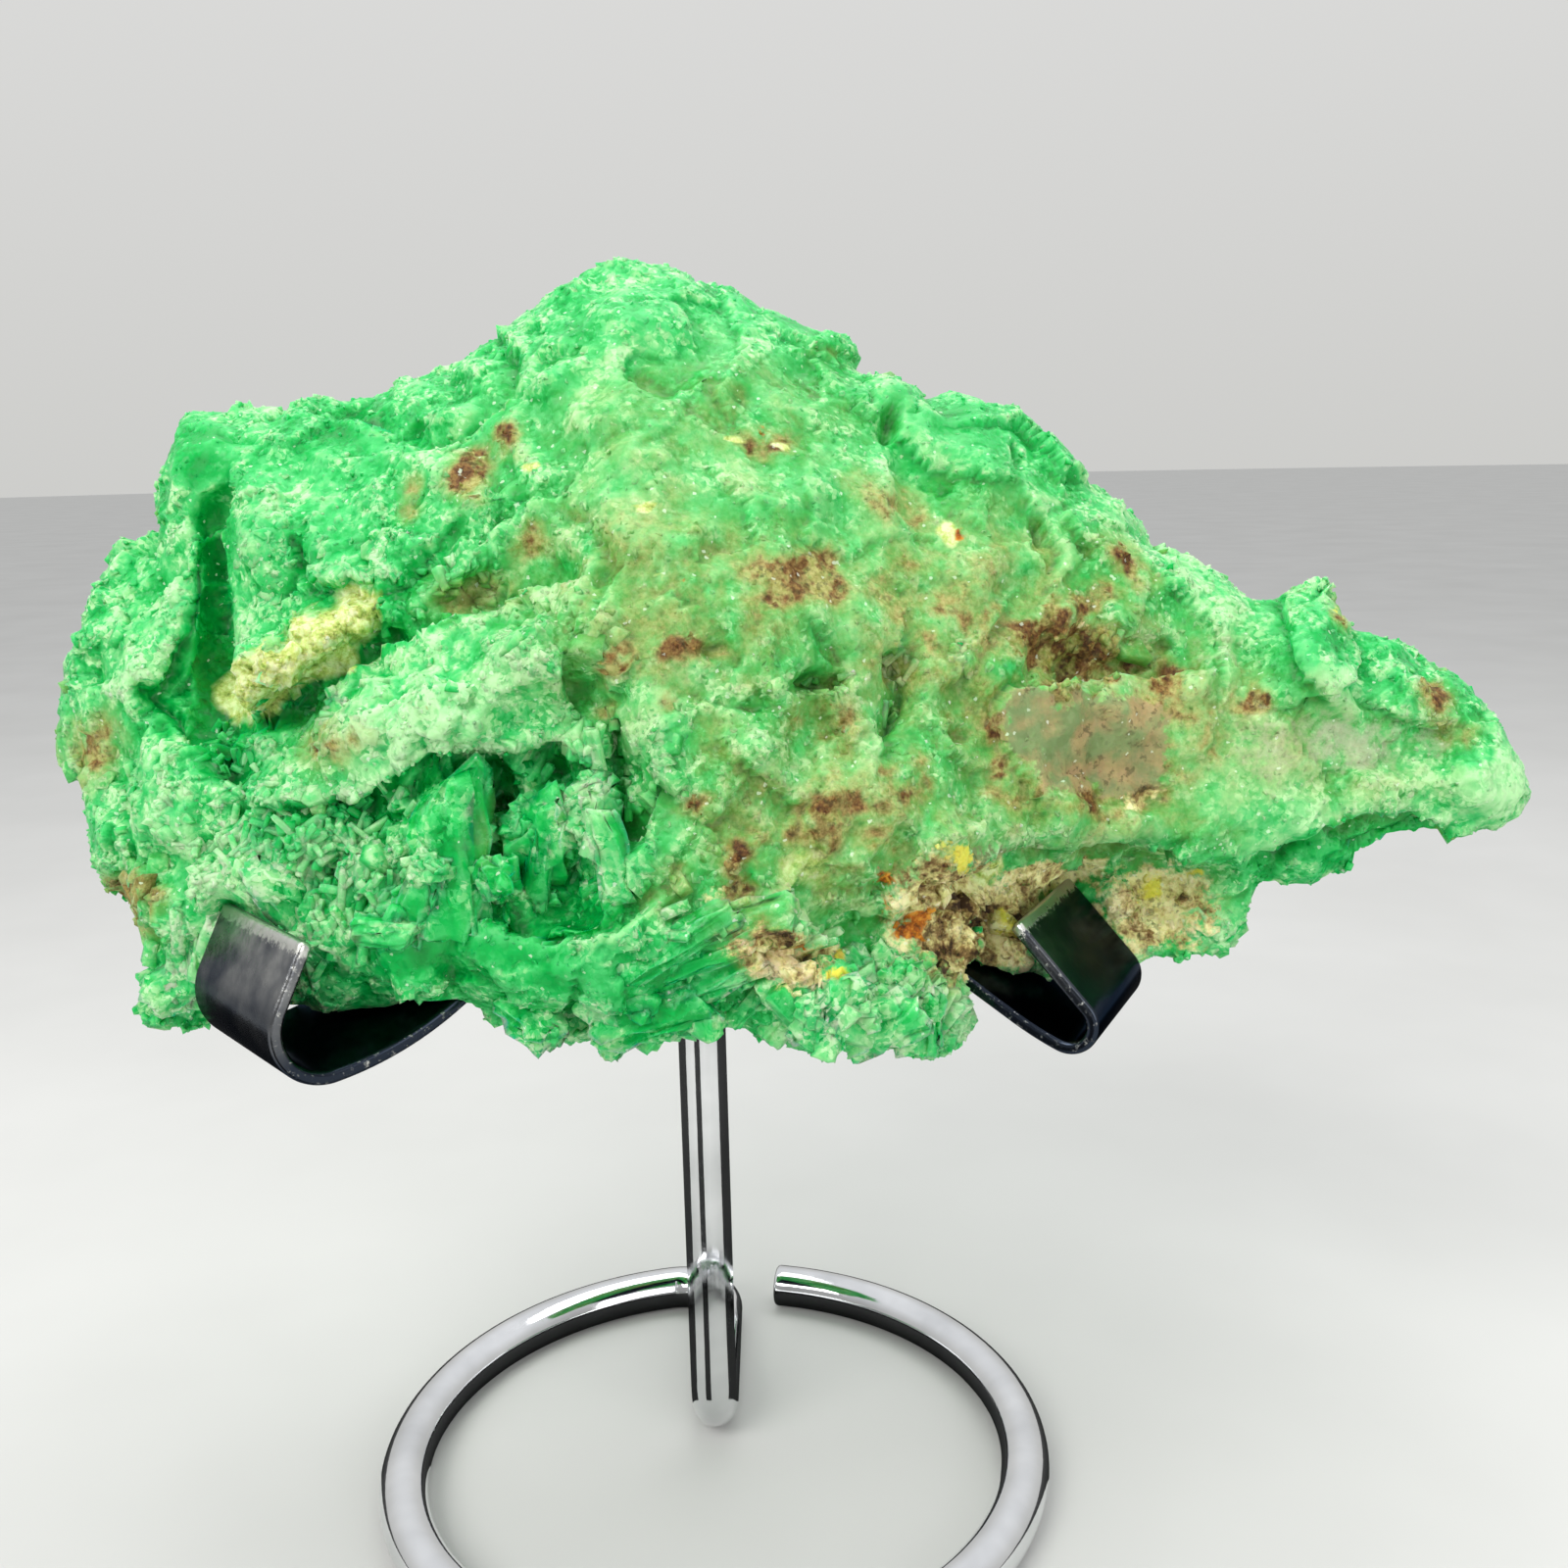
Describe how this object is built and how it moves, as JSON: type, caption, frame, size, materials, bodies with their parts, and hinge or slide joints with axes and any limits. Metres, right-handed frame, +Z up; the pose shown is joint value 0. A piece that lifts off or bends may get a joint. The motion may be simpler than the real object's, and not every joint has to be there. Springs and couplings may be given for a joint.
{
  "type": "rough emerald specimen on a claw stand",
  "caption": "Rough green crystalline mineral specimen resting in the two strip claws of a bent wire display stand.",
  "frame": {"origin": "middle of the object's footprint, on the surface that the wire ring stands on", "axes": "+X along the long way of the stone, to the right as seen from the front; +Z up; -Y is the front, where the claws reach up"},
  "size_m": [0.1408, 0.0708, 0.1263],
  "materials": {
    "rough_emerald": "granular, waxy and slightly translucent crystalline mass with brown matrix stains",
    "dark_nickel_strip": "polished dark nickel plating, pitted and worn bright at the tips",
    "bright_chrome": "mirror chrome plating"
  },
  "bodies": {
    "root": {"emerald_specimen": "rough_emerald", "claw_cradle": "dark_nickel_strip", "ring_stand": "bright_chrome"}
  },
  "joints": []
}
